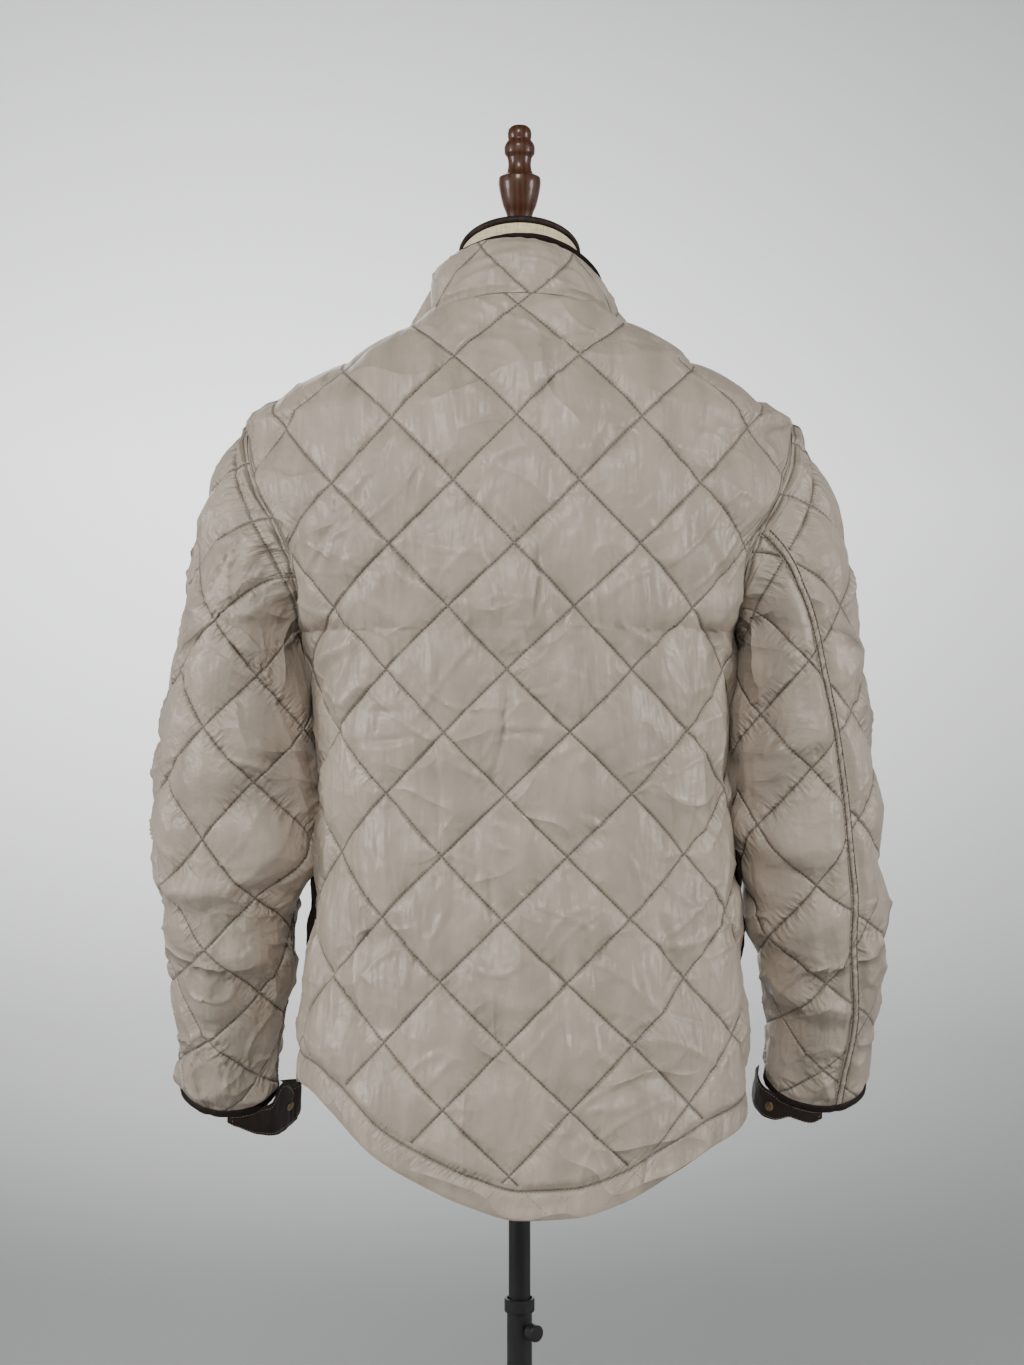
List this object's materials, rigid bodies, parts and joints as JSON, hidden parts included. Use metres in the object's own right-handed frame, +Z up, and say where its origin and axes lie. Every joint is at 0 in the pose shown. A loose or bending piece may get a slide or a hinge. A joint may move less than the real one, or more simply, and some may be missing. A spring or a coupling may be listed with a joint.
{
  "type": "quilted jacket on a dress form",
  "caption": "Diamond-quilted jacket with stand collar, shirt-tail hem and leather cuff tabs, hanging open-sleeved on a limbless linen dress form with a turned finial and a telescoping stand.",
  "frame": {"origin": "middle of the base's underside, on the pole's axis, at the floor", "axes": "+Z up along the pole; -Y towards the jacket's front closure; +X towards the wearer's left"},
  "size_m": [0.6577, 0.36, 1.648],
  "materials": {
    "stone_nylon": "satin quilted nylon",
    "dark_binding": "matte woven tape",
    "dark_leather": "fine grain, stitched edge",
    "cream_linen": "matte plain weave",
    "dark_walnut": "gloss varnish",
    "black_metal": "semi-gloss black",
    "cap_black": "dark satin",
    "aged_brass": "aged satin"
  },
  "bodies": {
    "stand": {"base": "black_metal", "base_socket": "black_metal", "pole_lower": "black_metal", "pole_ring": "black_metal"},
    "knob": {"lock_knob": "black_metal"},
    "form": {"back": "stone_nylon", "front_left": "stone_nylon", "front_right": "stone_nylon", "placket": "stone_nylon", "snap_1": "aged_brass", "snap_2": "aged_brass", "snap_3": "aged_brass", "snap_4": "aged_brass", "snap_5": "aged_brass", "snap_6": "aged_brass", "sleeve_left": "stone_nylon", "sleeve_right": "stone_nylon", "sleeve_seam_left": "stone_nylon", "sleeve_seam_right": "stone_nylon", "collar": "stone_nylon", "collar_facing": "dark_binding", "cuff_binding_left": "dark_binding", "cuff_binding_right": "dark_binding", "cuff_tab_left": "dark_leather", "cuff_tab_right": "dark_leather", "tab_snap_left": "aged_brass", "tab_snap_right": "aged_brass", "pocket_left_front": "dark_binding", "pocket_left_rear": "dark_binding", "pocket_right_front": "dark_binding", "pocket_right_rear": "dark_binding", "form_torso": "cream_linen", "neck_cap": "cap_black", "finial": "dark_walnut", "pole_flange": "black_metal", "pole_upper": "black_metal"}
  },
  "joints": [
    {"name": "height_slide", "type": "slide", "parent": "stand", "child": "form", "axis": [0, 0, 1], "range_m": [-0.15, 0.2]},
    {"name": "knob_turn", "type": "hinge", "parent": "stand", "child": "knob", "pos_m": [0, 0, 0.574], "axis": [-0.6018, 0.7986, 0], "continuous": true}
  ]
}
